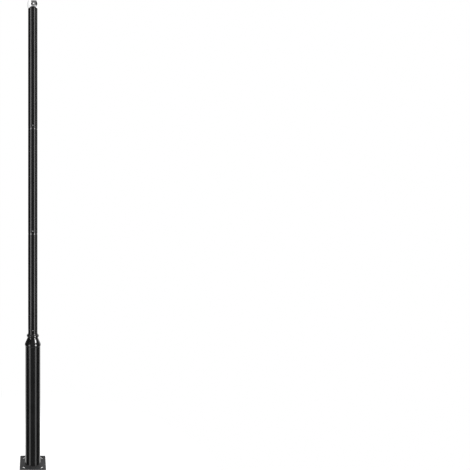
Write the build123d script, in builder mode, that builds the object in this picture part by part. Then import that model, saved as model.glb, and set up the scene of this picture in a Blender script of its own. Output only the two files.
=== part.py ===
from build123d import *

import os

# Sectional lamp post: a square base plate, a wide base column, a cast neck with a beaded
# collar, three slimmer tubes that slide over one another, and a chrome ball on top.
# Millimetres, +Z up. The origin is the centre of the base plate's underside, at ground
# level. The front of the post looks towards -Y.

# Base plate
plate_side = 207.0
plate_thickness = 6.0
plate_corner_radius = 3.0
plate_edge_chamfer = 0.6
cable_hole_diameter = 60.0

# Anchor slots, one near each corner, each lying across the plate's diagonal
slot_offset = 71.0
slot_length = 33.0
slot_width = 13.0

# Base column
column_diameter = 121.0
column_wall = 2.0
column_length = 937.0

# Slim tubes
tube_diameter = 76.0
tube_wall = 1.2
lower_body_length = 793.0
middle_body_length = 828.0
top_tube_length = 960.0

# Sliding joints: the end that goes into the next tube
slip_clearance = 0.2
swage_taper_length = 14.0
swage_spigot_length = 106.0
swage_rim_land = 0.2
neck_spigot_wall = 2.5
neck_spigot_rise = 55.0
neck_spigot_chamfer = 0.6

# Hanging hole in the front of each spigot, just under its rim
hanging_hole_diameter = 5.5
hanging_hole_depth = 6.0

# Joint screws, a front one and a back one in each sliding joint
base_screw_rise = 30.0
tube_screw_rise = 16.5
screw_diameter = 5.8
screw_length = 12.0
screw_head_diameter = 11.0
screw_head_height = 3.3
screw_rim_height = 0.8
screw_socket_width = 4.0
screw_socket_depth = 2.0
screw_hole_clearance = 0.3
screw_seat_gap = 0.1

# Cast neck: heights are above the column's top rim, margins are outside the slim tube
lip_overhang = 3.7
lip_height = 9.7
shoulder_height = 16.0
cone_top_height = 60.5
cone_top_margin = 6.2
waist_height = 69.5
waist_margin = 4.2
groove_height = 71.3
groove_margin = 2.6
bead_height = 79.5
bead_margin = 10.8
bead_top_height = 86.5
bead_round = 1.6
collar_height = 98.0
collar_rim_margin = 2.3
collar_rim_height = 4.5
collar_rim_chamfer = 1.0
neck_bore_clearance = 0.3
neck_bore_length = 36.0
neck_skirt_depth = 10.0
neck_skirt_wall = 3.0
neck_skirt_clearance = 0.5
neck_skirt_rise = 25.0

# Ring plate that carries the neck's spigot inside the column
top_ring_depth = 14.0
top_ring_thickness = 6.0
spigot_tail = 6.0

# Welds
weld_leg = 4.0
weld_hollow_radius = 8.0
weld_fit = 0.2

# Chrome ball and its fixing
ball_diameter = 89.0
ball_shell = 1.2
ball_foot_diameter = 19.0
ball_boss_height = 10.0
ball_sink = 6.0
seat_thickness = 2.0
seat_skirt_length = 20.0
seat_clearance = 0.2
seat_rim_radius = 1.5
stud_diameter = 8.0
stud_clearance = 0.2
stud_engagement = 8.0
stud_tail = 3.0
washer_diameter = 24.0
washer_thickness = 1.6
nut_width = 13.0
nut_height = 6.5

# Radii worked out from the sizes above
column_radius = column_diameter / 2
column_bore_radius = column_radius - column_wall
tube_radius = tube_diameter / 2
tube_bore_radius = tube_radius - tube_wall
spigot_radius = tube_bore_radius - slip_clearance
ball_radius = ball_diameter / 2
ball_foot_radius = ball_foot_diameter / 2
stud_radius = stud_diameter / 2
screw_radius = screw_diameter / 2
screw_head_radius = screw_head_diameter / 2

# A tube comes to rest on the taper of the one below it, where that taper is as wide as its bore
taper_drop = tube_radius - spigot_radius
seat_rise = swage_taper_length * (tube_radius - tube_bore_radius) / taper_drop

# Heights worked out from the sizes above
column_top = plate_thickness + column_length
collar_top = column_top + collar_height
lower_tube_foot = collar_top
middle_tube_foot = lower_tube_foot + lower_body_length + seat_rise
top_tube_foot = middle_tube_foot + middle_body_length + seat_rise
post_top = top_tube_foot + top_tube_length
seat_top = post_top - ball_sink
ball_centre = seat_top + (ball_radius**2 - ball_foot_radius**2) ** 0.5
top_ring_top = column_top - top_ring_depth
neck_spigot_foot = top_ring_top - top_ring_thickness - spigot_tail
neck_spigot_top = collar_top + neck_spigot_rise

joint_screw_heights = {
    "base": lower_tube_foot + base_screw_rise,
    "middle": middle_tube_foot + tube_screw_rise,
    "upper": top_tube_foot + tube_screw_rise,
}

os.makedirs("parts", exist_ok=True)


def cut_screw_holes(joint):
    """Cuts the front and back screw holes of this joint through the tube being made."""
    with BuildSketch(Plane.XZ) as hole:
        with Locations((0, joint_screw_heights[joint])):
            Circle(screw_radius + screw_hole_clearance)
    extrude(hole.sketch, amount=tube_diameter, both=True, mode=Mode.SUBTRACT)


def cut_hanging_hole(rim):
    """Cuts the small hole in the front of a spigot whose rim is at this height."""
    with BuildSketch(Plane.XZ) as hole:
        with Locations((0, rim - hanging_hole_depth)):
            Circle(hanging_hole_diameter / 2)
    extrude(hole.sketch, amount=tube_diameter, mode=Mode.SUBTRACT)


def make_weld(label, inner_radius, height):
    """Makes the hollow-faced fillet weld that runs round a tube where it meets a flat face."""
    inner = inner_radius + weld_fit
    with BuildPart() as weld:
        with BuildSketch(Plane.XZ):
            with BuildLine():
                Polyline((inner + weld_leg, height), (inner, height), (inner, height + weld_leg))
                RadiusArc((inner, height + weld_leg), (inner + weld_leg, height), -weld_hollow_radius)
            make_face()
        revolve(axis=Axis.Z)
    weld.part.label = label
    export_step(weld.part, f"parts/{label}.step")


def make_swaged_tube(label, foot, body_length, foot_joint, top_joint):
    """Makes a tube whose upper end is drawn in to a spigot that fits the next tube."""
    body_top = foot + body_length
    taper_top = body_top + swage_taper_length
    rim = taper_top + swage_spigot_length
    with BuildPart() as tube:
        with BuildSketch(Plane.XZ):
            with BuildLine():
                Polyline(
                    (tube_bore_radius, foot),
                    (tube_radius, foot),
                    (tube_radius, body_top),
                    (spigot_radius, taper_top),
                    (spigot_radius, rim),
                    (spigot_radius - tube_wall, rim),
                    (spigot_radius - tube_wall, taper_top),
                    (tube_bore_radius, body_top),
                    close=True,
                )
            make_face()
        revolve(axis=Axis.Z)
        rim_edges = tube.edges().filter_by(GeomType.CIRCLE).group_by(Axis.Z)[-1]
        fillet(rim_edges.sort_by(SortBy.RADIUS)[-1], tube_wall - swage_rim_land)
        cut_screw_holes(foot_joint)
        cut_screw_holes(top_joint)
        cut_hanging_hole(rim)
    tube.part.label = label
    export_step(tube.part, f"parts/{label}.step")


def make_joint_screw(label, height, outward):
    """Makes a button-head screw at this height, its head towards +Y or -Y."""
    seat = tube_radius + screw_seat_gap
    head_top = seat + screw_head_height
    along = Plane(origin=(0, 0, height), x_dir=(0, outward, 0), z_dir=(1, 0, 0))
    across = Plane(origin=(0, outward * head_top, height), x_dir=(1, 0, 0), z_dir=(0, outward, 0))
    with BuildPart() as screw:
        with BuildSketch(along):
            with BuildLine():
                Polyline(
                    (head_top, 0),
                    (seat - screw_length, 0),
                    (seat - screw_length, screw_radius),
                    (seat, screw_radius),
                    (seat, screw_head_radius),
                    (seat + screw_rim_height, screw_head_radius),
                )
                JernArc(
                    start=(seat + screw_rim_height, screw_head_radius),
                    tangent=(1, 0),
                    radius=screw_head_height - screw_rim_height,
                    arc_size=-90,
                )
                Line(
                    (head_top, screw_head_radius - screw_head_height + screw_rim_height),
                    (head_top, 0),
                )
            make_face()
        revolve(axis=Axis((0, 0, height), (0, outward, 0)))
        with BuildSketch(across):
            RegularPolygon(radius=screw_socket_width / 2, side_count=6, major_radius=False)
        extrude(amount=-screw_socket_depth, mode=Mode.SUBTRACT)
    screw.part.label = label
    export_step(screw.part, f"parts/{label}.step")


# Base plate with its cable hole and anchor slots
with BuildPart() as base_plate:
    with BuildSketch():
        RectangleRounded(plate_side, plate_side, plate_corner_radius)
        Circle(cable_hole_diameter / 2, mode=Mode.SUBTRACT)
        with PolarLocations(slot_offset * 2**0.5, 4, start_angle=45):
            SlotOverall(slot_length, slot_width, rotation=90, mode=Mode.SUBTRACT)
    extrude(amount=plate_thickness)
    chamfer(base_plate.faces().sort_by(Axis.Z)[-1].outer_wire().edges(), plate_edge_chamfer)
base_plate.part.label = "base_plate"
export_step(base_plate.part, "parts/base_plate.step")

# Base column, standing on the plate
with BuildPart() as base_column:
    with BuildSketch(Plane.XY.offset(plate_thickness)):
        Circle(column_radius)
        Circle(column_bore_radius, mode=Mode.SUBTRACT)
    extrude(amount=column_length)
base_column.part.label = "base_column"
export_step(base_column.part, "parts/base_column.step")

make_weld("foot_weld", column_radius, plate_thickness)

# Ring plate welded inside the column's mouth
with BuildPart() as column_top_ring:
    with BuildSketch(Plane.XY.offset(top_ring_top)):
        Circle(column_bore_radius - weld_fit)
        Circle(spigot_radius + weld_fit, mode=Mode.SUBTRACT)
    extrude(amount=-top_ring_thickness)
column_top_ring.part.label = "column_top_ring"
export_step(column_top_ring.part, "parts/column_top_ring.step")

make_weld("spigot_weld", spigot_radius, top_ring_top)

# Spigot of the base section, carried by the ring plate
with BuildPart() as neck_spigot:
    with BuildSketch(Plane.XY.offset(neck_spigot_foot)):
        Circle(spigot_radius)
        Circle(spigot_radius - neck_spigot_wall, mode=Mode.SUBTRACT)
    extrude(amount=neck_spigot_top - neck_spigot_foot)
    chamfer(neck_spigot.edges().group_by(Axis.Z)[-1].sort_by(SortBy.RADIUS)[-1], neck_spigot_chamfer)
    cut_screw_holes("base")
    cut_hanging_hole(neck_spigot_top)
neck_spigot.part.label = "neck_spigot"
export_step(neck_spigot.part, "parts/neck_spigot.step")

# Cast neck: a rolled lip over the column, an ogee cone, a groove, a bead and the collar that
# the lower tube stands on. It is a shell, with a skirt that centres it in the column.
lip_radius = column_radius + lip_overhang
waist_radius = tube_radius + waist_margin
groove_radius = tube_radius + groove_margin
bead_radius = tube_radius + bead_margin
collar_radius = tube_radius + collar_rim_margin
neck_bore_radius = spigot_radius + neck_bore_clearance
skirt_radius = column_bore_radius - neck_skirt_clearance
skirt_bore_radius = skirt_radius - neck_skirt_wall

# The cone's straight flank runs from the shoulder's corner to the cone's top. The shoulder is
# rounded by an arc that leaves the lip upright and reaches the flank as far past the corner.
shoulder_corner = Vector(lip_radius, column_top + shoulder_height)
cone_top = Vector(tube_radius + cone_top_margin, column_top + cone_top_height)
flank = (cone_top - shoulder_corner).normalized()
flank_start = shoulder_corner + flank * (shoulder_height - lip_height)
with BuildPart() as neck_casting:
    with BuildSketch(Plane.XZ):
        with BuildLine():
            EllipticalCenterArc(
                center=(column_radius, column_top + lip_height),
                x_radius=lip_overhang,
                y_radius=lip_height,
                start_angle=-90,
                arc_size=90,
            )
            TangentArc((lip_radius, column_top + lip_height), flank_start, tangent=(0, 1))
            Line(flank_start, cone_top)
            TangentArc(cone_top, (waist_radius, column_top + waist_height), tangent=flank)
            Line((waist_radius, column_top + waist_height), (groove_radius, column_top + groove_height))
            EllipticalCenterArc(
                center=(groove_radius, column_top + bead_height),
                x_radius=bead_radius - groove_radius,
                y_radius=bead_height - groove_height,
                start_angle=-90,
                arc_size=90,
            )
            FilletPolyline(
                (bead_radius, column_top + bead_height),
                (bead_radius, column_top + bead_top_height),
                (collar_radius, collar_top - collar_rim_height),
                (collar_radius, collar_top - collar_rim_chamfer),
                radius=bead_round,
            )
            Polyline(
                (collar_radius, collar_top - collar_rim_chamfer),
                (collar_radius - collar_rim_chamfer, collar_top),
                (neck_bore_radius, collar_top),
                (neck_bore_radius, collar_top - neck_bore_length),
                (skirt_bore_radius, column_top + neck_skirt_rise),
                (skirt_bore_radius, column_top - neck_skirt_depth),
                (skirt_radius, column_top - neck_skirt_depth),
                (skirt_radius, column_top),
                (column_radius, column_top),
            )
        make_face()
    revolve(axis=Axis.Z)
neck_casting.part.label = "neck_casting"
export_step(neck_casting.part, "parts/neck_casting.step")

make_swaged_tube("lower_tube", lower_tube_foot, lower_body_length, "base", "middle")
make_swaged_tube("middle_tube", middle_tube_foot, middle_body_length, "middle", "upper")

# Plain top tube
with BuildPart() as top_tube:
    with BuildSketch(Plane.XY.offset(top_tube_foot)):
        Circle(tube_radius)
        Circle(tube_bore_radius, mode=Mode.SUBTRACT)
    extrude(amount=top_tube_length)
    cut_screw_holes("upper")
top_tube.part.label = "top_tube"
export_step(top_tube.part, "parts/top_tube.step")

# Pressed cap that closes the top tube a little below its rim and carries the ball
seat_radius = tube_bore_radius - seat_clearance
with BuildPart() as ball_seat:
    with BuildSketch(Plane.XY.offset(seat_top)):
        Circle(seat_radius)
    extrude(amount=-seat_skirt_length)
    fillet(ball_seat.edges().sort_by(Axis.Z)[-1], seat_rim_radius)
    with BuildSketch(Plane.XY.offset(seat_top - seat_thickness)):
        Circle(seat_radius - seat_thickness)
    extrude(amount=-seat_skirt_length, mode=Mode.SUBTRACT)
    with BuildSketch(Plane.XY.offset(seat_top)):
        Circle(stud_radius + stud_clearance)
    extrude(amount=-seat_thickness, mode=Mode.SUBTRACT)
ball_seat.part.label = "ball_seat"
export_step(ball_seat.part, "parts/ball_seat.step")

# Hollow ball with a flat foot and a threaded boss for the stud
with BuildPart() as ball_finial:
    with BuildSketch(Plane.XZ):
        with Locations((0, ball_centre)):
            Circle(ball_radius)
            Circle(ball_radius - ball_shell, mode=Mode.SUBTRACT)
        with Locations((0, seat_top)):
            Rectangle(ball_foot_diameter, ball_boss_height, align=(Align.CENTER, Align.MIN))
            Rectangle(ball_diameter, ball_radius, align=(Align.CENTER, Align.MAX), mode=Mode.SUBTRACT)
            Rectangle(
                2 * (stud_radius + stud_clearance),
                ball_boss_height,
                align=(Align.CENTER, Align.MIN),
                mode=Mode.SUBTRACT,
            )
        with Locations((0, ball_centre)):
            Rectangle(ball_diameter, 2 * ball_diameter, align=(Align.MAX, Align.CENTER), mode=Mode.SUBTRACT)
    revolve(axis=Axis.Z)
ball_finial.part.label = "ball_finial"
export_step(ball_finial.part, "parts/ball_finial.step")

# Stud, washer and nut that hold the ball down on its seat
washer_top = seat_top - seat_thickness
nut_top = washer_top - washer_thickness
stud_foot = nut_top - nut_height - stud_tail
with BuildPart() as ball_stud:
    with BuildSketch(Plane.XY.offset(stud_foot)):
        Circle(stud_radius)
    extrude(amount=seat_top + stud_engagement - stud_foot)
ball_stud.part.label = "ball_stud"
export_step(ball_stud.part, "parts/ball_stud.step")

with BuildPart() as ball_washer:
    with BuildSketch(Plane.XY.offset(washer_top)):
        Circle(washer_diameter / 2)
        Circle(stud_radius + stud_clearance, mode=Mode.SUBTRACT)
    extrude(amount=-washer_thickness)
ball_washer.part.label = "ball_washer"
export_step(ball_washer.part, "parts/ball_washer.step")

with BuildPart() as ball_nut:
    with BuildSketch(Plane.XY.offset(nut_top)):
        RegularPolygon(radius=nut_width / 2, side_count=6, major_radius=False)
        Circle(stud_radius + stud_clearance, mode=Mode.SUBTRACT)
    extrude(amount=-nut_height)
ball_nut.part.label = "ball_nut"
export_step(ball_nut.part, "parts/ball_nut.step")

# Screws of the sliding joints
for joint_name, screw_height in joint_screw_heights.items():
    make_joint_screw(f"{joint_name}_screw_front", screw_height, -1)
    make_joint_screw(f"{joint_name}_screw_back", screw_height, 1)
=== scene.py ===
import math
from typing import NamedTuple

import bmesh
import bpy
from bpy.props import FloatProperty, FloatVectorProperty, IntProperty, PointerProperty
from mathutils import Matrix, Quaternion, Vector


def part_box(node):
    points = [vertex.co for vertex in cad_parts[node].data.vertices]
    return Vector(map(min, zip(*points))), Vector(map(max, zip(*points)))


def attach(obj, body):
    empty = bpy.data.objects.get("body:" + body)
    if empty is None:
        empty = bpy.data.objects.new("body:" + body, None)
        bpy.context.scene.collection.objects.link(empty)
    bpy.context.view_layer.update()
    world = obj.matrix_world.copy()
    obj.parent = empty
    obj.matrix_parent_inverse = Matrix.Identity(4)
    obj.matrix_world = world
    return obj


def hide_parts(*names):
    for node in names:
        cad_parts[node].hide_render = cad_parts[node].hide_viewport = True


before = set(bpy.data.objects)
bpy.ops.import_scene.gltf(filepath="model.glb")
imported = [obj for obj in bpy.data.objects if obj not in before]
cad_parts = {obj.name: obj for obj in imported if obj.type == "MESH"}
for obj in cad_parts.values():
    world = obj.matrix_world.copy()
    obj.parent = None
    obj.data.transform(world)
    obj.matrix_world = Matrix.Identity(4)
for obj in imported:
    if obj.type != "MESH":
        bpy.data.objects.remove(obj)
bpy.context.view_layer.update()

bl_info = {
    "name": "Sectional lamp post",
    "version": (1, 0, 0),
    "blender": (4, 5, 0),
    "location": "3D View > Sidebar > Lamp post",
    "description": "Paint, plating, weld bead and studio for a sectional steel lamp post",
    "category": "Object",
}

ROOT = "root"
TUBES = ("base_column", "lower_tube", "middle_tube", "top_tube")
# Tubes that slide over the drawn-in end of the tube below
LAPPING_TUBES = ("middle_tube", "top_tube")
HIDDEN_STEEL = ("column_top_ring", "neck_spigot", "spigot_weld", "ball_seat")
JOINTS = ("base", "middle", "upper")
SIDES = ("front", "back")
BALL_FIXINGS = ("ball_stud", "ball_washer", "ball_nut")

# Paint: its refraction, the roughness that a speck of dust adds, the share of a rubbed ring's half depth
# that is bare steel, and the mottle's share in the plate's shade, whose rest is cloud
PAINT_IOR = 1.5
DUST_ROUGHNESS = 0.06
BARE_SHARE = 0.75
MOTTLE_SHARE = 0.6

# Foot bead: steps of its mesh along one ripple and across its face, how far a ripple's middle trails
# behind its ends as a share of half a ripple, and the share of a swell that goes out and up, at 45 degrees
RIPPLE_STEPS = 8
FACE_STEPS = 7
RIPPLE_LAG = 0.9
FACE_SLANT = 0.7071

# Limits between the parts of the room, in degrees as the post sees them: turned away from the camera to
# either side, turned to the right of it, or risen above level
FRONT_TO_SIDE = (34, 62)
SIDE_TO_BACK = (112, 120)
STRAIGHT_BEHIND = (170, 178)
LEFT_TO_RIGHT = (-5, 5)
NECK_TO_TUBES = (-13.1, -12.6)
WALL_TO_CEILING = (40, 56)
GROUND_TO_WALL = (-66, -30)
HORIZON_TO_ZENITH = (-10, 70)

# Soft edges of a softbox: at its sides as a share of half its width, at its ends in degrees
SIDE_BLUR = 0.4
END_BLUR = 0.7

# Floor: side, depth below the base plate, own brightness to the camera near the post, and distances
# from the post between which it turns plain white; lengths in metres
FLOOR_SIDE = 40.0
FLOOR_DROP = 0.0005
FLOOR_GLOW = 0.42
FLOOR_TO_WHITE = (0.4, 1.5)

# Overhead lamp: place aside and ahead of the post's axis, and height on the axis that it faces, in metres
LAMP_ASIDE = 0.6
LAMP_AHEAD = 0.9
LAMP_AIM = 0.5

# Camera: width of its sensor in millimetres, and how far it sees in metres
SENSOR_MM = 36.0
FAR_CLIP = 200.0

WHITE = (1.0, 1.0, 1.0, 1.0)


# Softboxes, light panels and flags


class Softbox(NamedTuple):
    """A strip softbox of the room, as the post sees it

    Side is -1 at the left and 1 at the right. Past is its turn past the softbox angle, wider its width
    past the softbox width, and low and high are the heights of its edges, all in degrees. Level names the
    studio's level that it has.
    """

    side: int
    past: float
    wider: float
    low: float
    high: float
    level: str


class LightPanel(NamedTuple):
    """A small upright light panel that only one node mirrors

    Level names the studio's level that it follows, and share is its part of it. Its middle stands aside
    and ahead of the post's axis and above the node's foot, in metres like its width and height. Turn from
    the camera and roll are in degrees.
    """

    name: str
    node: str
    level: str
    share: float
    aside: float
    ahead: float
    above: float
    turn: float
    width: float
    height: float
    roll: float = 0.0


class Flag(NamedTuple):
    """A small dim upright card close beside the ball

    Its middle stands aside and ahead of the post's axis. Foot and top are the heights of its edges above
    the ball's foot. All lengths are in metres.
    """

    name: str
    aside: float
    ahead: float
    width: float
    foot: float
    top: float


SOFTBOXES = (
    Softbox(
        side=-1,
        past=1.0,
        wider=2.0,
        low=-13.6,
        high=27.0,
        level="softbox_level",
    ),
    Softbox(
        side=-1,
        past=-4.0,
        wider=0.0,
        low=-33.0,
        high=-14.3,
        level="lower_softbox_level",
    ),
    Softbox(
        side=1,
        past=-4.0,
        wider=2.0,
        low=-13.6,
        high=27.8,
        level="softbox_level",
    ),
    Softbox(
        side=1,
        past=-4.0,
        wider=0.0,
        low=-33.0,
        high=-14.3,
        level="lower_softbox_level",
    ),
)
PANELS = (
    LightPanel(
        name="neck_panel",
        node="neck_casting",
        level="neck_panel_level",
        share=1.0,
        aside=0.1475,
        ahead=0.1355,
        above=0.1435,
        turn=50.7,
        width=0.07,
        height=0.029,
        roll=-8.0,
    ),
    LightPanel(
        name="lip_panel",
        node="neck_casting",
        level="neck_panel_level",
        share=0.65,
        aside=0.1254,
        ahead=0.1618,
        above=0.073,
        turn=50.7,
        width=0.044,
        height=0.096,
    ),
    LightPanel(
        name="ball_panel_left",
        node="ball_finial",
        level="ball_panel_level",
        share=1.0,
        aside=-0.5,
        ahead=0.045,
        above=0.11,
        turn=-90.0,
        width=1.29,
        height=1.6,
    ),
    LightPanel(
        name="ball_panel_low",
        node="ball_finial",
        level="ball_panel_level",
        share=0.7,
        aside=0.5,
        ahead=0.0,
        above=-0.64,
        turn=90.0,
        width=0.6,
        height=1.1,
    ),
    LightPanel(
        name="ball_panel_right",
        node="ball_finial",
        level="ball_panel_level",
        share=0.5,
        aside=0.5,
        ahead=-0.3,
        above=0.26,
        turn=90.0,
        width=0.5,
        height=0.9,
    ),
    LightPanel(
        name="ball_window",
        node="ball_finial",
        level="ball_panel_level",
        share=1.15,
        aside=0.161,
        ahead=0.516,
        above=-0.013,
        turn=18.0,
        width=0.25,
        height=0.2,
    ),
    LightPanel(
        name="top_panel_left",
        node="top_tube",
        level="softbox_level",
        share=1.0,
        aside=-3.109,
        ahead=2.517,
        above=3.294,
        turn=-51.0,
        width=1.55,
        height=0.64,
    ),
    LightPanel(
        name="top_panel_right",
        node="top_tube",
        level="softbox_level",
        share=1.0,
        aside=2.877,
        ahead=2.779,
        above=3.334,
        turn=46.0,
        width=1.55,
        height=0.64,
    ),
)
FLAGS = (
    Flag(
        name="ball_flag_left",
        aside=-0.0221,
        ahead=0.048,
        width=0.011,
        foot=0.011,
        top=0.039,
    ),
    Flag(
        name="ball_flag_right",
        aside=0.0269,
        ahead=0.0471,
        width=0.0205,
        foot=0.011,
        top=0.057,
    ),
)
# Turn of the flags out of the picture's plane
FLAG_TURN = math.radians(49)


# Sizes and colours that can be changed


class PaintFinish(bpy.types.PropertyGroup):
    """Colours and gloss of the painted steel"""

    black: FloatVectorProperty(
        name="Post black",
        description="Colour of the gloss paint on the tubes and the neck",
        subtype="COLOR",
        size=3,
        min=0.0,
        max=1.0,
        default=(0.0035, 0.0035, 0.0037),
    )
    tube_roughness: FloatProperty(
        name="Tube roughness",
        description="How much the paint on the drawn tubes blurs what it reflects",
        subtype="FACTOR",
        min=0.02,
        max=1.0,
        default=0.17,
    )
    neck_roughness: FloatProperty(
        name="Neck roughness",
        description="How much the thicker paint on the cast neck blurs what it reflects",
        subtype="FACTOR",
        min=0.02,
        max=1.0,
        default=0.07,
    )
    burnished: FloatVectorProperty(
        name="Burnished steel",
        description="Colour of the rubbed steel on the drawn-in ends that show under each seam",
        subtype="COLOR",
        size=3,
        min=0.0,
        max=1.0,
        default=(0.11, 0.11, 0.112),
    )
    burnished_roughness: FloatProperty(
        name="Burnished roughness",
        description="How much the rubbed steel under each seam blurs what it reflects",
        subtype="FACTOR",
        min=0.02,
        max=1.0,
        default=0.14,
    )
    seam_depth: FloatProperty(
        name="Seam depth",
        description="How much of each drawn-in end shows under the tube above it",
        unit="LENGTH",
        min=0.0,
        max=0.1,
        default=0.014,
    )
    peel_size: FloatProperty(
        name="Peel size",
        description="Width of one ripple of the paint's orange peel",
        unit="LENGTH",
        min=0.0005,
        max=0.02,
        default=0.003,
    )
    peel_height: FloatProperty(
        name="Peel height",
        description="Height of the paint's orange peel",
        unit="LENGTH",
        min=0.0,
        max=0.001,
        default=0.000012,
    )
    plate_grey: FloatVectorProperty(
        name="Plate grey",
        description="Colour of the satin paint on the base plate",
        subtype="COLOR",
        size=3,
        min=0.0,
        max=1.0,
        default=(0.032, 0.032, 0.033),
    )
    plate_gloss: FloatProperty(
        name="Plate gloss",
        description="How strongly the satin paint on the base plate mirrors; 0.5 is common paint",
        subtype="FACTOR",
        min=0.0,
        max=1.0,
        default=0.2,
    )
    plate_roughness: FloatProperty(
        name="Plate roughness",
        description="How much the satin paint on the base plate blurs what it reflects",
        subtype="FACTOR",
        min=0.02,
        max=1.0,
        default=0.5,
    )


class MetalFinish(bpy.types.PropertyGroup):
    """Colours and polish of the bare metal"""

    chrome: FloatVectorProperty(
        name="Chrome",
        description="Tint of the plated ball",
        subtype="COLOR",
        size=3,
        min=0.0,
        max=1.0,
        default=(0.88, 0.885, 0.89),
    )
    chrome_roughness: FloatProperty(
        name="Chrome roughness",
        description="How much the plated ball blurs what it reflects",
        subtype="FACTOR",
        min=0.0,
        max=1.0,
        default=0.03,
    )
    zinc: FloatVectorProperty(
        name="Zinc",
        description="Tint of the plated screws",
        subtype="COLOR",
        size=3,
        min=0.0,
        max=1.0,
        default=(0.42, 0.425, 0.43),
    )
    zinc_roughness: FloatProperty(
        name="Zinc roughness",
        description="How much the plated screws blur what they reflect",
        subtype="FACTOR",
        min=0.0,
        max=1.0,
        default=0.5,
    )


class FootBead(bpy.types.PropertyGroup):
    """Sizes of the weld bead round the foot of the column"""

    ripples: IntProperty(
        name="Ripples",
        description="Number of ripples that the welder's hand left round the foot",
        min=20,
        max=400,
        default=142,
    )
    ripple_height: FloatProperty(
        name="Ripple height",
        description="Height of one ripple above the bead",
        unit="LENGTH",
        min=0.0,
        max=0.001,
        default=0.00032,
    )
    crown: FloatProperty(
        name="Crown",
        description="How far the bead's face swells past a straight line between its toes",
        unit="LENGTH",
        min=0.0,
        max=0.003,
        default=0.0005,
    )


class Studio(bpy.types.PropertyGroup):
    """Camera, floor, room and lamps"""

    camera_distance: FloatProperty(
        name="Camera distance",
        description="Level distance from the post's axis to the camera",
        unit="LENGTH",
        min=1.0,
        max=20.0,
        default=3.4,
    )
    camera_height: FloatProperty(
        name="Camera height",
        description="Height of the camera above the ground",
        unit="LENGTH",
        min=0.1,
        max=10.0,
        default=1.832,
    )
    pixels_per_metre: FloatProperty(
        name="Picture scale",
        description="Pixels that one metre at the post's axis takes in the picture",
        min=10.0,
        max=1000.0,
        default=124.46,
    )
    picture_side: FloatProperty(
        name="Picture side",
        description="Width and height of the picture in pixels",
        min=100.0,
        max=4000.0,
        default=470.0,
    )
    post_column: FloatProperty(
        name="Post's place",
        description="Pixels from the picture's left edge to the post's axis",
        min=0.0,
        max=4000.0,
        default=32.82,
    )
    floor_grey: FloatVectorProperty(
        name="Floor",
        description="Colour of the floor",
        subtype="COLOR",
        size=3,
        min=0.0,
        max=1.0,
        default=(0.8, 0.8, 0.8),
    )
    front_level: FloatProperty(
        name="Front level",
        description="Brightness of the dim part of the room behind the camera, as glossy paint mirrors it",
        min=0.0,
        max=2.0,
        default=0.16,
    )
    side_level: FloatProperty(
        name="Side level",
        description="Brightness of the black flags at both sides",
        min=0.0,
        max=2.0,
        default=0.04,
    )
    back_level: FloatProperty(
        name="Back level",
        description="Brightness of the backdrop behind the post",
        min=0.0,
        max=5.0,
        default=1.1,
    )
    left_back_level: FloatProperty(
        name="Left back level",
        description="Brightness of the backdrop's left part, beside the slim tubes",
        min=0.0,
        max=5.0,
        default=0.12,
    )
    ceiling_level: FloatProperty(
        name="Ceiling level",
        description="Brightness of the ceiling",
        min=0.0,
        max=5.0,
        default=0.6,
    )
    ground_level: FloatProperty(
        name="Ground level",
        description="Brightness of the ground straight below",
        min=0.0,
        max=5.0,
        default=0.75,
    )
    softbox_angle: FloatProperty(
        name="Softbox angle",
        description="Angle of the strip softboxes from the camera, seen from the post",
        subtype="ANGLE",
        min=0.1,
        max=1.5,
        default=math.radians(50),
    )
    softbox_width: FloatProperty(
        name="Softbox width",
        description="Angle that each strip softbox takes up, seen from the post",
        subtype="ANGLE",
        min=0.02,
        max=1.0,
        default=math.radians(20),
    )
    softbox_level: FloatProperty(
        name="Softbox level",
        description="Brightness of each strip softbox",
        min=0.0,
        max=50.0,
        default=4.2,
    )
    lower_softbox_level: FloatProperty(
        name="Lower softbox level",
        description="Brightness of the lower end of each strip softbox",
        min=0.0,
        max=50.0,
        default=2.0,
    )
    neck_panel_level: FloatProperty(
        name="Neck panel level",
        description="Brightness of the small panels that the neck mirrors as its highlight",
        min=0.0,
        max=80.0,
        default=28.0,
    )
    ball_panel_level: FloatProperty(
        name="Ball panel level",
        description="Brightness of the white panels that the ball mirrors",
        min=0.0,
        max=10.0,
        default=0.95,
    )
    horizon_light: FloatProperty(
        name="Horizon light",
        description="Soft light from the horizon",
        min=0.0,
        max=5.0,
        default=0.35,
    )
    zenith_light: FloatProperty(
        name="Zenith light",
        description="Soft light from straight above",
        min=0.0,
        max=5.0,
        default=1.1,
    )
    lamp_height: FloatProperty(
        name="Lamp height",
        description="Height of the overhead lamp above the ground",
        unit="LENGTH",
        min=1.0,
        max=20.0,
        default=6.5,
    )
    lamp_side: FloatProperty(
        name="Lamp side",
        description="Side of the square overhead lamp",
        unit="LENGTH",
        min=0.1,
        max=10.0,
        default=2.6,
    )
    lamp_power: FloatProperty(
        name="Lamp power",
        description="Power of the overhead lamp",
        unit="POWER",
        min=0.0,
        max=5000.0,
        default=170.0,
    )


# Node helpers

# Sockets of a mix node, for values and for colours
VALUE_INPUTS = (2, 3)
VALUE_OUTPUT = 0
COLOUR_INPUTS = (6, 7)
COLOUR_OUTPUT = 2


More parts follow.
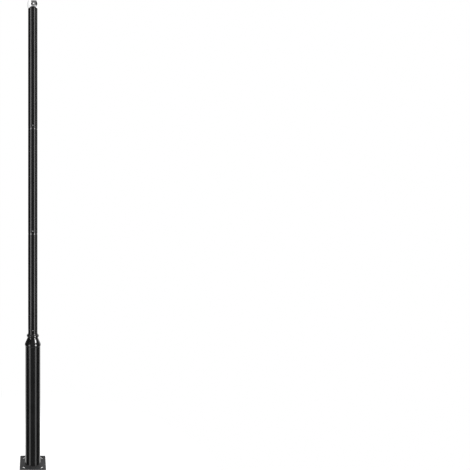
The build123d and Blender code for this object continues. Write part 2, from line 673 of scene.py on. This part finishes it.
class Graph:
    """A small wrapper that adds and joins shader nodes"""

    def __init__(self, tree):
        self.tree = tree
        self.tree.nodes.clear()

    def node(self, kind, inputs=None, **settings):
        """Adds a node, sets its options and fills or joins its inputs"""
        made = self.tree.nodes.new(kind)
        for name, value in settings.items():
            setattr(made, name, value)
        for name, value in (inputs or {}).items():
            self.put(made.inputs[name], value)
        return made

    def put(self, socket, value):
        """Joins a socket to another one, or sets its own value"""
        if isinstance(value, bpy.types.NodeSocket):
            self.tree.links.new(value, socket)
        else:
            socket.default_value = value

    def maths(self, operation, first, second=0.0, third=0.0):
        """One step of arithmetic"""
        made = self.tree.nodes.new("ShaderNodeMath")
        made.operation = operation
        for socket, value in zip(made.inputs, (first, second, third)):
            self.put(socket, value)
        return made.outputs[0]

    def ease(self, value, low, high, out_low=0.0, out_high=1.0):
        """Eases a value from one level to another between two limits"""
        made = self.node("ShaderNodeMapRange", interpolation_type="SMOOTHSTEP")
        for name, number in (
            ("Value", value),
            ("From Min", low),
            ("From Max", high),
            ("To Min", out_low),
            ("To Max", out_high),
        ):
            self.put(made.inputs[name], number)
        return made.outputs["Result"]

    def mix(self, share, first, second):
        """Blends two values"""
        made = self.node("ShaderNodeMix", {"Factor": share})
        for place, value in zip(VALUE_INPUTS, (first, second)):
            self.put(made.inputs[place], value)
        return made.outputs[VALUE_OUTPUT]

    def blend(self, share, first, second):
        """Blends two colours"""
        made = self.node("ShaderNodeMix", data_type="RGBA")
        self.put(made.inputs["Factor"], share)
        for place, colour in zip(COLOUR_INPUTS, (first, second)):
            if not isinstance(colour, bpy.types.NodeSocket) and len(colour) == 3:
                colour = (*colour, 1.0)
            self.put(made.inputs[place], colour)
        return made.outputs[COLOUR_OUTPUT]

    def noise(self, place, size, detail=3.0, roughness=0.5):
        """Noise whose ripples are about as wide as the size in metres"""
        made = self.node(
            "ShaderNodeTexNoise",
            {"Vector": place, "Scale": 1.0 / size, "Detail": detail, "Roughness": roughness},
        )
        return made.outputs["Fac"]


def new_material(name):
    """An empty node material and its graph, with the post's own coordinates"""
    material = bpy.data.materials.new(name)
    material.use_nodes = True
    graph = Graph(material.node_tree)
    place = graph.node("ShaderNodeTexCoord").outputs["Object"]
    return material, graph, place


def close_material(graph, colour, roughness, normal, constants, metallic=None):
    """Adds the surface shader and the output"""
    surface = graph.node("ShaderNodeBsdfPrincipled")
    for name, value in constants.items():
        surface.inputs[name].default_value = value
    if metallic is not None:
        graph.put(surface.inputs["Metallic"], metallic)
    graph.put(surface.inputs["Base Color"], colour)
    graph.put(surface.inputs["Roughness"], roughness)
    graph.put(surface.inputs["Normal"], normal)
    graph.node("ShaderNodeOutputMaterial", {"Surface": surface.outputs["BSDF"]})


def bump(graph, height, distance, under=None):
    """A bump of that height in metres, over another one if there is one"""
    made = graph.node("ShaderNodeBump", {"Height": height, "Distance": distance, "Strength": 1.0})
    if under is not None:
        graph.put(made.inputs["Normal"], under)
    return made.outputs["Normal"]


def tinted(colour, share):
    """A colour made lighter by a share of itself, or darker where the share is negative"""
    return tuple(min(1.0, part * (1.0 + share)) for part in colour)


# Finishes


def rubbed_rings(graph, place, seams, depth):
    """One on a ring of that depth under each seam, easing to nothing past its edges"""
    height = graph.node("ShaderNodeSeparateXYZ", {"Vector": place}).outputs["Z"]
    half = depth / 2
    rubbed = 0.0
    for seam in seams:
        off = graph.maths("ABSOLUTE", graph.maths("SUBTRACT", height, seam - half))
        ring = graph.ease(off, low=half * BARE_SHARE, high=half, out_low=1.0, out_high=0.0)
        rubbed = graph.maths("MAXIMUM", rubbed, ring)
    return rubbed


def gloss_paint(name, paint, roughness, waviness, seams=()):
    """Gloss black paint with orange peel, a faint drift of colour and a few dust specks"""
    material, graph, place = new_material(name)
    drift = graph.noise(place, size=0.16, detail=4.0)
    drift = graph.ease(drift, low=0.35, high=0.65)
    colour = graph.blend(drift, paint.black, tinted(paint.black, share=0.6))
    handled = graph.noise(place, size=0.05, detail=5.0, roughness=0.6)
    rough = graph.ease(handled, low=0.3, high=0.75, out_low=roughness * 0.9, out_high=roughness * 1.15)
    rubbed = None
    if seams:
        rubbed = rubbed_rings(graph, place, seams, paint.seam_depth)
        colour = graph.blend(rubbed, colour, paint.burnished)
        rough = graph.mix(rubbed, rough, paint.burnished_roughness)
    specks = graph.node("ShaderNodeTexVoronoi", {"Vector": place, "Scale": 140.0}).outputs["Distance"]
    dust = graph.ease(specks, low=0.05, high=0.1, out_low=1.0, out_high=0.0)
    rough = graph.maths("MULTIPLY_ADD", dust, DUST_ROUGHNESS, rough)
    peel = graph.noise(place, paint.peel_size, detail=2.0)
    flow = graph.noise(place, size=0.03, detail=2.0)
    normal = bump(graph, flow, waviness)
    normal = bump(graph, peel, paint.peel_height, normal)
    close_material(graph, colour, rough, normal, {"IOR": PAINT_IOR}, rubbed)
    return material


def satin_plate_paint(name, paint):
    """Thin satin paint over hot-rolled plate: mottled, with the grain of the steel under it"""
    material, graph, place = new_material(name)
    mottle = graph.noise(place, size=0.011, detail=6.0, roughness=0.62)
    cloud = graph.noise(place, size=0.07, detail=3.0)
    dark = tinted(paint.plate_grey, share=-0.22)
    light = tinted(paint.plate_grey, share=0.25)
    shade = graph.mix(MOTTLE_SHARE, cloud, mottle)
    colour = graph.blend(graph.ease(shade, low=0.36, high=0.64), dark, light)
    rough = paint.plate_roughness
    rough = graph.ease(mottle, low=0.3, high=0.7, out_low=rough * 0.85, out_high=rough * 1.15)
    grain = graph.noise(place, size=0.0016, detail=4.0, roughness=0.6)
    normal = bump(graph, mottle, distance=0.00025)
    normal = bump(graph, grain, distance=0.00008, under=normal)
    constants = {"IOR": PAINT_IOR, "Specular IOR Level": paint.plate_gloss}
    close_material(graph, colour, rough, normal, constants)
    return material


def weld_paint(name, paint):
    """Gloss paint that has pooled over a weld bead, with spatter under it"""
    material, graph, place = new_material(name)
    pool = graph.noise(place, size=0.006, detail=4.0, roughness=0.6)
    pooled = graph.ease(pool, low=0.35, high=0.65)
    colour = graph.blend(pooled, paint.black, tinted(paint.black, share=1.2))
    rough = graph.ease(pool, low=0.3, high=0.7, out_low=0.16, out_high=0.3)
    spatter = graph.node("ShaderNodeTexVoronoi", {"Vector": place, "Scale": 420.0}).outputs["Distance"]
    spatter = graph.ease(spatter, low=0.0, high=0.45, out_low=1.0, out_high=0.0)
    normal = bump(graph, spatter, distance=0.00006)
    normal = bump(graph, pool, distance=0.0001, under=normal)
    close_material(graph, colour, rough, normal, {"IOR": PAINT_IOR})
    return material


def mirror_chrome(name, metal):
    """Plated and polished steel with the faintest haze and wiping marks"""
    material, graph, place = new_material(name)
    haze = graph.noise(place, size=0.02, detail=4.0)
    hazy = graph.ease(haze, low=0.3, high=0.7)
    colour = graph.blend(hazy, metal.chrome, tinted(metal.chrome, share=-0.03))
    wiped = graph.node(
        "ShaderNodeTexWave",
        {"Vector": place, "Scale": 60.0, "Distortion": 9.0, "Detail": 3.0, "Detail Scale": 1.4},
        bands_direction="Z",
    ).outputs["Fac"]
    rough = metal.chrome_roughness
    rough = graph.ease(wiped, low=0.2, high=0.9, out_low=rough * 0.7, out_high=rough * 1.4)
    normal = bump(graph, haze, distance=0.000004)
    close_material(graph, colour, rough, normal, {"Metallic": 1.0})
    return material


def zinc_plating(name, metal):
    """Bright zinc on pressed steel, with cloudy passivation and tool marks"""
    material, graph, place = new_material(name)
    cloud = graph.noise(place, size=0.004, detail=5.0, roughness=0.6)
    dull = tinted(metal.zinc, share=-0.2)
    colour = graph.blend(graph.ease(cloud, low=0.35, high=0.65), dull, metal.zinc)
    rough = metal.zinc_roughness
    rough = graph.ease(cloud, low=0.3, high=0.7, out_low=rough * 0.8, out_high=rough * 1.25)
    marks = graph.noise(place, size=0.0004, detail=3.0)
    normal = bump(graph, marks, distance=0.000012)
    close_material(graph, colour, rough, normal, {"Metallic": 1.0})
    return material


def finish_node(name, material):
    """Gives a CAD node its finish"""
    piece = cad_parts.get(name)
    if piece is None:
        raise RuntimeError(f"the lamp post has no node {name}")
    if not piece.material_slots:
        piece.data.materials.append(material)
    for held in piece.material_slots:
        held.material = material


def mesh_data(name, mesh):
    """Mesh data from a working mesh, which is freed"""
    data = bpy.data.meshes.new(name)
    mesh.to_mesh(data)
    mesh.free()
    return data


def add_object(scene, name, data):
    """Adds an object with that data to the scene"""
    made = bpy.data.objects.new(name, data)
    scene.collection.objects.link(made)
    return made


# Operators, one for each group of pieces, and what they build with


class LAMPPOST_OT_tubes(bpy.types.Operator):
    """Paint the base column, the slim tubes and the steel inside them gloss black"""

    bl_idname = "lamppost.tubes"
    bl_label = "Paint tubes"

    def execute(self, context):
        paint = context.scene.lamp_post_paint
        seams = [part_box(name)[0].z for name in LAPPING_TUBES]
        tube_paint = gloss_paint(
            "gloss_black_on_tube", paint, paint.tube_roughness, waviness=0.00003, seams=seams
        )
        inner_paint = gloss_paint("gloss_black_inside", paint, roughness=0.3, waviness=0.00005)
        for name in TUBES:
            finish_node(name, tube_paint)
        for name in HIDDEN_STEEL:
            finish_node(name, inner_paint)
        return {"FINISHED"}


class LAMPPOST_OT_neck(bpy.types.Operator):
    """Paint the cast neck gloss black, with the slight waviness of a casting"""

    bl_idname = "lamppost.neck"
    bl_label = "Paint neck"

    def execute(self, context):
        paint = context.scene.lamp_post_paint
        material = gloss_paint("gloss_black_on_casting", paint, paint.neck_roughness, waviness=0.00004)
        finish_node("neck_casting", material)
        return {"FINISHED"}


class LAMPPOST_OT_plate(bpy.types.Operator):
    """Paint the base plate satin grey"""

    bl_idname = "lamppost.plate"
    bl_label = "Paint base plate"

    def execute(self, context):
        material = satin_plate_paint("satin_grey_on_plate", context.scene.lamp_post_paint)
        finish_node("base_plate", material)
        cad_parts["base_plate"].visible_glossy = False
        return {"FINISHED"}


def bead_section(bead, angle, inner, outer, foot, top):
    """Radii and heights of the bead at that angle, down its face from the column to the plate and back"""
    section = []
    for step in range(FACE_STEPS + 1):
        share = step / FACE_STEPS
        line = Vector((inner + (outer - inner) * share, top + (foot - top) * share))
        swell = math.sin(math.pi * share)
        wave = 0.5 + 0.5 * math.cos(bead.ripples * angle + RIPPLE_LAG * swell * math.pi)
        lift = bead.crown * swell + bead.ripple_height * wave * swell**0.5
        section.append((line.x + lift * FACE_SLANT, line.y + lift * FACE_SLANT))
    section.append((inner, foot))
    return section


def bead_mesh(bead, inner, outer, foot, top):
    """The bead's sections joined into one closed ring"""
    around = bead.ripples * RIPPLE_STEPS
    mesh = bmesh.new()
    rings = []
    for turn in range(around):
        angle = 2 * math.pi * turn / around
        ring = []
        for radius, height in bead_section(bead, angle, inner, outer, foot, top):
            ring.append(mesh.verts.new((radius * math.cos(angle), radius * math.sin(angle), height)))
        rings.append(ring)
    for turn, here in enumerate(rings):
        there = rings[(turn + 1) % around]
        for step in range(len(here)):
            after = (step + 1) % len(here)
            mesh.faces.new((here[step], here[after], there[after], there[step]))
    bmesh.ops.recalc_face_normals(mesh, faces=mesh.faces)
    return mesh


class LAMPPOST_OT_foot_bead(bpy.types.Operator):
    """Lay the rippled weld bead round the foot of the column"""

    bl_idname = "lamppost.foot_bead"
    bl_label = "Lay foot bead"

    def execute(self, context):
        bead = context.scene.lamp_post_bead
        low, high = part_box("foot_weld")
        column_low, column_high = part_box("base_column")
        inner = (column_high.x - column_low.x) / 2
        outer = (high.x - low.x) / 2
        data = mesh_data("foot_bead", bead_mesh(bead, inner, outer, low.z, high.z))
        data.polygons.foreach_set("use_smooth", [True] * len(data.polygons))
        piece = add_object(context.scene, "foot_bead", data)
        data.materials.append(weld_paint("gloss_black_on_weld", context.scene.lamp_post_paint))
        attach(piece, ROOT)
        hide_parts("foot_weld")
        return {"FINISHED"}


class LAMPPOST_OT_screws(bpy.types.Operator):
    """Plate the screws of the three sliding joints"""

    bl_idname = "lamppost.screws"
    bl_label = "Plate joint screws"

    def execute(self, context):
        zinc = zinc_plating("zinc_on_screws", context.scene.lamp_post_metal)
        for joint in JOINTS:
            for side in SIDES:
                finish_node(f"{joint}_screw_{side}", zinc)
        return {"FINISHED"}


class LAMPPOST_OT_ball(bpy.types.Operator):
    """Plate the ball and its stud, washer and nut"""

    bl_idname = "lamppost.ball"
    bl_label = "Plate ball"

    def execute(self, context):
        metal = context.scene.lamp_post_metal
        finish_node("ball_finial", mirror_chrome("chrome_on_ball", metal))
        zinc = zinc_plating("zinc_on_ball_fixings", metal)
        for name in BALL_FIXINGS:
            finish_node(name, zinc)
        return {"FINISHED"}


def light_room(world, studio):
    """The studio as the post sees it

    It is dim in front, black at the sides and white behind, but dim at the left beside the slim tubes. The
    softboxes are added to it. The camera sees plain white, and matt surfaces get a soft even light.
    """
    world.use_nodes = True
    graph = Graph(world.node_tree)
    towards = graph.node("ShaderNodeTexCoord").outputs["Generated"]
    parts = graph.node("ShaderNodeSeparateXYZ", {"Vector": towards})
    x, y, z = (parts.outputs[axis] for axis in "XYZ")
    turn = graph.maths("ARCTAN2", x, graph.maths("MULTIPLY", y, -1.0))
    away = graph.maths("ABSOLUTE", turn)
    rise = graph.maths("ARCSINE", graph.maths("MINIMUM", graph.maths("MAXIMUM", z, -1.0), 1.0))

    def inside_softbox(middle, width, low, high):
        """One inside a softbox's outline, easing to nothing past its edges; angles in degrees"""
        half = math.radians(width) / 2
        off = graph.maths("ABSOLUTE", graph.maths("SUBTRACT", turn, math.radians(middle)))
        across = graph.ease(off, half * (1.0 - SIDE_BLUR), half * (1.0 + SIDE_BLUR), 1.0, 0.0)
        above = graph.ease(rise, math.radians(low - END_BLUR), math.radians(low))
        below = graph.ease(rise, math.radians(high), math.radians(high + END_BLUR), 1.0, 0.0)
        return graph.maths("MULTIPLY", across, graph.maths("MULTIPLY", above, below))

    def fade(value, limits, under, over):
        """Blends from one level to another where an angle passes two limits, in degrees"""
        low, high = limits
        return graph.mix(graph.ease(value, math.radians(low), math.radians(high)), under, over)

    level = fade(away, FRONT_TO_SIDE, studio.front_level, studio.side_level)
    left = fade(rise, NECK_TO_TUBES, studio.back_level, studio.left_back_level)
    left = fade(away, STRAIGHT_BEHIND, left, studio.back_level)
    back = fade(turn, LEFT_TO_RIGHT, left, studio.back_level)
    level = fade(away, SIDE_TO_BACK, level, back)
    level = fade(rise, WALL_TO_CEILING, level, studio.ceiling_level)
    level = fade(rise, GROUND_TO_WALL, studio.ground_level, level)
    angle = math.degrees(studio.softbox_angle)
    width = math.degrees(studio.softbox_width)
    for box in SOFTBOXES:
        inside = inside_softbox(box.side * (angle + box.past), width + box.wider, box.low, box.high)
        level = graph.maths("MULTIPLY_ADD", inside, getattr(studio, box.level), level)

    path = graph.node("ShaderNodeLightPath").outputs
    plain = fade(rise, HORIZON_TO_ZENITH, studio.horizon_light, studio.zenith_light)
    seen = graph.maths("MAXIMUM", path["Is Camera Ray"], path["Is Transmission Ray"])
    level = graph.mix(path["Is Diffuse Ray"], level, plain)
    level = graph.mix(seen, level, 1.0)
    room = graph.node("ShaderNodeBackground", {"Color": WHITE, "Strength": level})
    graph.node("ShaderNodeOutputWorld", {"Surface": room.outputs[0]})


def hang_panel(scene, studio, panel):
    """Hangs a light panel beside the post, facing it"""
    lamp = bpy.data.lights.new(panel.name, "AREA")
    lamp.shape = "RECTANGLE"
    lamp.size = panel.width
    lamp.size_y = panel.height
    level = getattr(studio, panel.level) * panel.share
    lamp.energy = level * math.pi * panel.width * panel.height
    hung = add_object(scene, panel.name, lamp)
    hung.location = (panel.aside, -panel.ahead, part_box(panel.node)[0].z + panel.above)
    turn = math.radians(panel.turn)
    upright = Vector((-math.sin(turn), math.cos(turn), 0.0)).to_track_quat("-Z", "Y")
    rolled = upright @ Quaternion((0.0, 0.0, 1.0), math.radians(panel.roll))
    hung.rotation_euler = rolled.to_euler()
    hung.visible_camera = False
    lit = bpy.data.collections.new(f"lit_by_{panel.name}")
    lit.objects.link(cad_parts[panel.node])
    hung.light_linking.receiver_collection = lit


def hang_flag(scene, studio, flag):
    """Hangs a dim card close beside the ball, so that the ball doesn't mirror the softbox there"""
    mesh = bmesh.new()
    middle = Vector((flag.aside, -flag.ahead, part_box("ball_finial")[0].z))
    outwards = math.copysign(math.cos(FLAG_TURN), flag.aside)
    across = Vector((outwards, math.sin(FLAG_TURN), 0.0)) * flag.width / 2
    corners = []
    for end, height in ((-1, flag.foot), (1, flag.foot), (1, flag.top), (-1, flag.top)):
        corners.append(mesh.verts.new(middle + across * end + Vector((0.0, 0.0, height))))
    mesh.faces.new(corners)
    data = mesh_data(flag.name, mesh)
    material, graph, _ = new_material(f"dim_{flag.name}")
    dim = graph.node("ShaderNodeEmission", {"Color": WHITE, "Strength": studio.front_level})
    graph.node("ShaderNodeOutputMaterial", {"Surface": dim.outputs[0]})
    data.materials.append(material)
    card = add_object(scene, flag.name, data)
    card.visible_camera = False
    card.visible_diffuse = False
    card.visible_transmission = False
    card.visible_shadow = False


def floor_finish(studio):
    """Pale matt floor that turns plain white to the camera away from the post"""
    material, graph, place = new_material("pale_floor")
    speck = graph.ease(graph.noise(place, size=0.02, detail=4.0), low=0.3, high=0.7)
    colour = graph.blend(speck, studio.floor_grey, tinted(studio.floor_grey, share=0.03))
    matt = graph.node("ShaderNodeBsdfDiffuse", {"Color": colour})
    path = graph.node("ShaderNodeLightPath").outputs
    seen = graph.maths("MAXIMUM", path["Is Camera Ray"], path["Is Transmission Ray"])
    seen = graph.maths("MAXIMUM", seen, path["Is Glossy Ray"])
    flat = graph.node("ShaderNodeVectorMath", {0: place, 1: (1.0, 1.0, 0.0)}, operation="MULTIPLY")
    reach = graph.node("ShaderNodeVectorMath", {0: flat.outputs["Vector"]}, operation="LENGTH")
    far = graph.ease(reach.outputs["Value"], *FLOOR_TO_WHITE)
    glow = graph.maths("MULTIPLY", seen, FLOOR_GLOW)
    glow = graph.node("ShaderNodeEmission", {"Color": WHITE, "Strength": glow})
    near = graph.node("ShaderNodeAddShader", {0: matt.outputs[0], 1: glow.outputs[0]})
    plain = graph.node("ShaderNodeEmission", {"Color": WHITE, "Strength": 1.0})
    share = graph.maths("MULTIPLY", seen, far)
    mixed = graph.node("ShaderNodeMixShader", {0: share, 1: near.outputs[0], 2: plain.outputs[0]})
    graph.node("ShaderNodeOutputMaterial", {"Surface": mixed.outputs[0]})
    return material


def lay_floor(context, studio):
    """Lays the floor just below the base plate; the paint doesn't mirror it"""
    bpy.ops.mesh.primitive_plane_add(size=FLOOR_SIDE, location=(0.0, 0.0, -FLOOR_DROP))
    floor = context.active_object
    floor.name = "floor"
    floor.data.materials.append(floor_finish(studio))
    floor.visible_glossy = False


def hang_overhead_lamp(scene, studio):
    """Hangs the big soft lamp above the post; the paint doesn't mirror it"""
    lamp = bpy.data.lights.new("overhead_lamp", "AREA")
    lamp.shape = "SQUARE"
    lamp.size = studio.lamp_side
    lamp.energy = studio.lamp_power
    hung = add_object(scene, "overhead_lamp", lamp)
    hung.location = (LAMP_ASIDE, -LAMP_AHEAD, studio.lamp_height)
    aim = Vector((0.0, 0.0, LAMP_AIM)) - hung.location
    hung.rotation_euler = aim.to_track_quat("-Z", "Y").to_euler()
    hung.visible_glossy = False


def set_camera(scene, studio):
    """Sets up the level camera, shifted so that the post stands at its place in the picture"""
    camera = bpy.data.cameras.new("camera")
    camera.sensor_fit = "HORIZONTAL"
    camera.sensor_width = SENSOR_MM
    camera.lens = SENSOR_MM * studio.pixels_per_metre * studio.camera_distance / studio.picture_side
    camera.shift_x = 0.5 - studio.post_column / studio.picture_side
    camera.clip_end = FAR_CLIP
    standing = add_object(scene, "camera", camera)
    standing.location = (0.0, -studio.camera_distance, studio.camera_height)
    standing.rotation_euler = (math.radians(90), 0.0, 0.0)
    scene.camera = standing


class LAMPPOST_OT_studio(bpy.types.Operator):
    """Set up the floor, the room, the lamps, the small panels and cards round the post, and the camera"""

    bl_idname = "lamppost.studio"
    bl_label = "Set up studio"

    def execute(self, context):
        scene = context.scene
        studio = scene.lamp_post_studio
        scene.view_settings.view_transform = "Standard"
        lay_floor(context, studio)
        if scene.world is None:
            scene.world = bpy.data.worlds.new("studio_room")
        light_room(scene.world, studio)
        hang_overhead_lamp(scene, studio)
        for panel in PANELS:
            hang_panel(scene, studio, panel)
        for flag in FLAGS:
            hang_flag(scene, studio, flag)
        set_camera(scene, studio)
        return {"FINISHED"}


class LAMPPOST_PT_panel(bpy.types.Panel):
    """Sizes, colours and steps of the lamp post"""

    bl_idname = "LAMPPOST_PT_panel"
    bl_label = "Lamp post"
    bl_space_type = "VIEW_3D"
    bl_region_type = "UI"
    bl_category = "Lamp post"

    def draw(self, context):
        for name, group in GROUPS.items():
            box = self.layout.box()
            for value in group.__annotations__:
                box.prop(getattr(context.scene, name), value)
        for step in STEPS:
            self.layout.operator(step.bl_idname)


GROUPS = {
    "lamp_post_paint": PaintFinish,
    "lamp_post_metal": MetalFinish,
    "lamp_post_bead": FootBead,
    "lamp_post_studio": Studio,
}
STEPS = (
    LAMPPOST_OT_studio,
    LAMPPOST_OT_plate,
    LAMPPOST_OT_foot_bead,
    LAMPPOST_OT_tubes,
    LAMPPOST_OT_neck,
    LAMPPOST_OT_screws,
    LAMPPOST_OT_ball,
)


def register():
    for group in GROUPS.values():
        bpy.utils.register_class(group)
    for step in (*STEPS, LAMPPOST_PT_panel):
        bpy.utils.register_class(step)
    for name, group in GROUPS.items():
        setattr(bpy.types.Scene, name, PointerProperty(type=group))


def unregister():
    for name in GROUPS:
        delattr(bpy.types.Scene, name)
    for step in (LAMPPOST_PT_panel, *reversed(STEPS)):
        bpy.utils.unregister_class(step)
    for group in reversed(GROUPS.values()):
        bpy.utils.unregister_class(group)


def main():
    register()
    bpy.ops.lamppost.studio()
    bpy.ops.lamppost.plate()
    bpy.ops.lamppost.foot_bead()
    bpy.ops.lamppost.tubes()
    bpy.ops.lamppost.neck()
    bpy.ops.lamppost.screws()
    bpy.ops.lamppost.ball()


if __name__ == "__main__":
    main()
